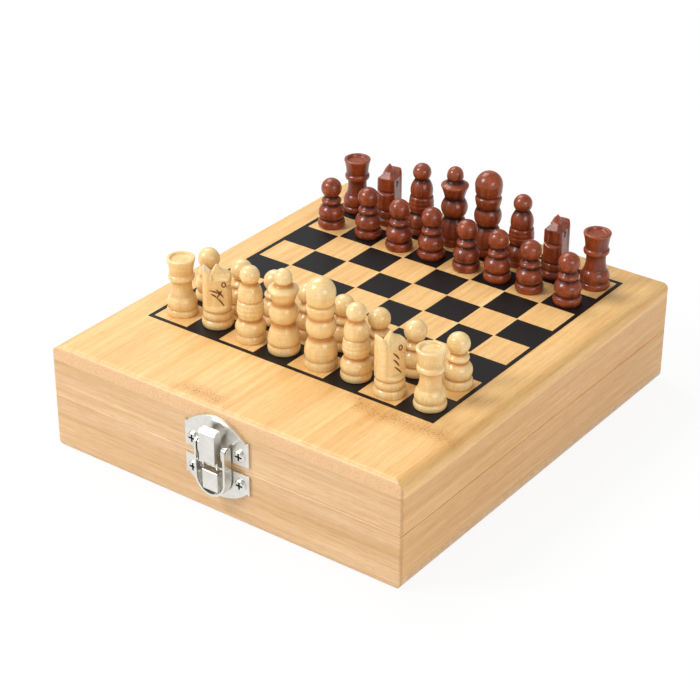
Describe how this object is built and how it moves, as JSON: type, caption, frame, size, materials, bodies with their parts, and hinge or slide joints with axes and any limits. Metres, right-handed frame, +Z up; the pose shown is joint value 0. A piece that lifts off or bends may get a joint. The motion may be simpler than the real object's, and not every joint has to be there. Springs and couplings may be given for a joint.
{
  "type": "travel chess set",
  "caption": "Hinged bamboo case with a printed chess board on its lid, a front draw latch, and turned light and brown chess pieces that lift off the board.",
  "frame": {"origin": "centre of the case's underside", "axes": "+Z up, -Y towards the latch and the light pieces, +X to the right seen from the latch"},
  "size_m": [0.145, 0.1743, 0.0725],
  "materials": {
    "bamboo_panel": "satin",
    "bamboo_wall": "satin",
    "light_wood": "gloss",
    "brown_wood": "gloss",
    "black_print": "matt",
    "felt": "matt",
    "plated_steel": "satin"
  },
  "bodies": {
    "base": {"base_back_wall": "bamboo_wall", "base_divider": "bamboo_wall", "base_felt": "felt", "base_floor": "bamboo_panel", "base_front_wall": "bamboo_wall", "base_left_wall": "bamboo_wall", "base_right_wall": "bamboo_wall", "latch_keeper_plate": "plated_steel", "latch_rivets": "plated_steel", "latch_screws_base": "plated_steel", "hinge_leaves_base": "plated_steel", "hinge_pins": "plated_steel", "hinge_screws_base": "plated_steel"},
    "lid": {"lid_back_wall": "bamboo_wall", "lid_front_wall": "bamboo_wall", "lid_left_wall": "bamboo_wall", "lid_panel": "bamboo_panel", "lid_right_wall": "bamboo_wall", "board_print": "black_print", "latch_catch_plate": "plated_steel", "latch_screws_lid": "plated_steel", "hinge_leaves_lid": "plated_steel", "hinge_screws_lid": "plated_steel"},
    "latch_lever": {"latch_lever": "plated_steel", "latch_link_pin": "plated_steel"},
    "latch_strap": {"latch_strap": "plated_steel"},
    "brown_bishop_left": {"brown_bishop_left": "brown_wood"},
    "brown_bishop_right": {"brown_bishop_right": "brown_wood"},
    "brown_king": {"brown_king": "brown_wood"},
    "brown_knight_left": {"brown_knight_left": "brown_wood"},
    "brown_knight_right": {"brown_knight_right": "brown_wood"},
    "brown_pawn_1": {"brown_pawn_1": "brown_wood"},
    "brown_pawn_2": {"brown_pawn_2": "brown_wood"},
    "brown_pawn_3": {"brown_pawn_3": "brown_wood"},
    "brown_pawn_4": {"brown_pawn_4": "brown_wood"},
    "brown_pawn_5": {"brown_pawn_5": "brown_wood"},
    "brown_pawn_6": {"brown_pawn_6": "brown_wood"},
    "brown_pawn_7": {"brown_pawn_7": "brown_wood"},
    "brown_pawn_8": {"brown_pawn_8": "brown_wood"},
    "brown_queen": {"brown_queen": "brown_wood"},
    "brown_rook_left": {"brown_rook_left": "brown_wood"},
    "brown_rook_right": {"brown_rook_right": "brown_wood"},
    "light_bishop_left": {"light_bishop_left": "light_wood"},
    "light_bishop_right": {"light_bishop_right": "light_wood"},
    "light_king": {"light_king": "light_wood"},
    "light_knight_left": {"light_knight_left": "light_wood"},
    "light_knight_right": {"light_knight_right": "light_wood"},
    "light_pawn_1": {"light_pawn_1": "light_wood"},
    "light_pawn_2": {"light_pawn_2": "light_wood"},
    "light_pawn_3": {"light_pawn_3": "light_wood"},
    "light_pawn_4": {"light_pawn_4": "light_wood"},
    "light_pawn_5": {"light_pawn_5": "light_wood"},
    "light_pawn_6": {"light_pawn_6": "light_wood"},
    "light_pawn_7": {"light_pawn_7": "light_wood"},
    "light_pawn_8": {"light_pawn_8": "light_wood"},
    "light_queen": {"light_queen": "light_wood"},
    "light_rook_left": {"light_rook_left": "light_wood"},
    "light_rook_right": {"light_rook_right": "light_wood"}
  },
  "joints": [
    {"name": "lid_hinge", "type": "hinge", "parent": "base", "child": "lid", "pos_m": [0, 0.0843, 0.021], "axis": [-1, 0, 0], "range_deg": [0, 105]},
    {"name": "latch_lever_hinge", "type": "hinge", "parent": "base", "child": "latch_lever", "pos_m": [0, -0.0855, 0.0278], "axis": [-1, 0, 0], "range_deg": [0, 90]},
    {"name": "latch_strap_hinge", "type": "hinge", "parent": "latch_lever", "child": "latch_strap", "pos_m": [0, -0.0859, 0.0213], "axis": [-1, 0, 0], "range_deg": [-120, 0]},
    {"name": "brown_bishop_left_lift", "type": "slide", "parent": "lid", "child": "brown_bishop_left", "axis": [0, 0, 1], "range_m": [0, 0.05]},
    {"name": "brown_bishop_right_lift", "type": "slide", "parent": "lid", "child": "brown_bishop_right", "axis": [0, 0, 1], "range_m": [0, 0.05]},
    {"name": "brown_king_lift", "type": "slide", "parent": "lid", "child": "brown_king", "axis": [0, 0, 1], "range_m": [0, 0.05]},
    {"name": "brown_knight_left_lift", "type": "slide", "parent": "lid", "child": "brown_knight_left", "axis": [0, 0, 1], "range_m": [0, 0.05]},
    {"name": "brown_knight_right_lift", "type": "slide", "parent": "lid", "child": "brown_knight_right", "axis": [0, 0, 1], "range_m": [0, 0.05]},
    {"name": "brown_pawn_1_lift", "type": "slide", "parent": "lid", "child": "brown_pawn_1", "axis": [0, 0, 1], "range_m": [0, 0.05]},
    {"name": "brown_pawn_2_lift", "type": "slide", "parent": "lid", "child": "brown_pawn_2", "axis": [0, 0, 1], "range_m": [0, 0.05]},
    {"name": "brown_pawn_3_lift", "type": "slide", "parent": "lid", "child": "brown_pawn_3", "axis": [0, 0, 1], "range_m": [0, 0.05]},
    {"name": "brown_pawn_4_lift", "type": "slide", "parent": "lid", "child": "brown_pawn_4", "axis": [0, 0, 1], "range_m": [0, 0.05]},
    {"name": "brown_pawn_5_lift", "type": "slide", "parent": "lid", "child": "brown_pawn_5", "axis": [0, 0, 1], "range_m": [0, 0.05]},
    {"name": "brown_pawn_6_lift", "type": "slide", "parent": "lid", "child": "brown_pawn_6", "axis": [0, 0, 1], "range_m": [0, 0.05]},
    {"name": "brown_pawn_7_lift", "type": "slide", "parent": "lid", "child": "brown_pawn_7", "axis": [0, 0, 1], "range_m": [0, 0.05]},
    {"name": "brown_pawn_8_lift", "type": "slide", "parent": "lid", "child": "brown_pawn_8", "axis": [0, 0, 1], "range_m": [0, 0.05]},
    {"name": "brown_queen_lift", "type": "slide", "parent": "lid", "child": "brown_queen", "axis": [0, 0, 1], "range_m": [0, 0.05]},
    {"name": "brown_rook_left_lift", "type": "slide", "parent": "lid", "child": "brown_rook_left", "axis": [0, 0, 1], "range_m": [0, 0.05]},
    {"name": "brown_rook_right_lift", "type": "slide", "parent": "lid", "child": "brown_rook_right", "axis": [0, 0, 1], "range_m": [0, 0.05]},
    {"name": "light_bishop_left_lift", "type": "slide", "parent": "lid", "child": "light_bishop_left", "axis": [0, 0, 1], "range_m": [0, 0.05]},
    {"name": "light_bishop_right_lift", "type": "slide", "parent": "lid", "child": "light_bishop_right", "axis": [0, 0, 1], "range_m": [0, 0.05]},
    {"name": "light_king_lift", "type": "slide", "parent": "lid", "child": "light_king", "axis": [0, 0, 1], "range_m": [0, 0.05]},
    {"name": "light_knight_left_lift", "type": "slide", "parent": "lid", "child": "light_knight_left", "axis": [0, 0, 1], "range_m": [0, 0.05]},
    {"name": "light_knight_right_lift", "type": "slide", "parent": "lid", "child": "light_knight_right", "axis": [0, 0, 1], "range_m": [0, 0.05]},
    {"name": "light_pawn_1_lift", "type": "slide", "parent": "lid", "child": "light_pawn_1", "axis": [0, 0, 1], "range_m": [0, 0.05]},
    {"name": "light_pawn_2_lift", "type": "slide", "parent": "lid", "child": "light_pawn_2", "axis": [0, 0, 1], "range_m": [0, 0.05]},
    {"name": "light_pawn_3_lift", "type": "slide", "parent": "lid", "child": "light_pawn_3", "axis": [0, 0, 1], "range_m": [0, 0.05]},
    {"name": "light_pawn_4_lift", "type": "slide", "parent": "lid", "child": "light_pawn_4", "axis": [0, 0, 1], "range_m": [0, 0.05]},
    {"name": "light_pawn_5_lift", "type": "slide", "parent": "lid", "child": "light_pawn_5", "axis": [0, 0, 1], "range_m": [0, 0.05]},
    {"name": "light_pawn_6_lift", "type": "slide", "parent": "lid", "child": "light_pawn_6", "axis": [0, 0, 1], "range_m": [0, 0.05]},
    {"name": "light_pawn_7_lift", "type": "slide", "parent": "lid", "child": "light_pawn_7", "axis": [0, 0, 1], "range_m": [0, 0.05]},
    {"name": "light_pawn_8_lift", "type": "slide", "parent": "lid", "child": "light_pawn_8", "axis": [0, 0, 1], "range_m": [0, 0.05]},
    {"name": "light_queen_lift", "type": "slide", "parent": "lid", "child": "light_queen", "axis": [0, 0, 1], "range_m": [0, 0.05]},
    {"name": "light_rook_left_lift", "type": "slide", "parent": "lid", "child": "light_rook_left", "axis": [0, 0, 1], "range_m": [0, 0.05]},
    {"name": "light_rook_right_lift", "type": "slide", "parent": "lid", "child": "light_rook_right", "axis": [0, 0, 1], "range_m": [0, 0.05]}
  ],
  "couplings": [
    {"joint": "latch_strap_hinge", "follows": "latch_lever_hinge", "ratio": -1}
  ]
}
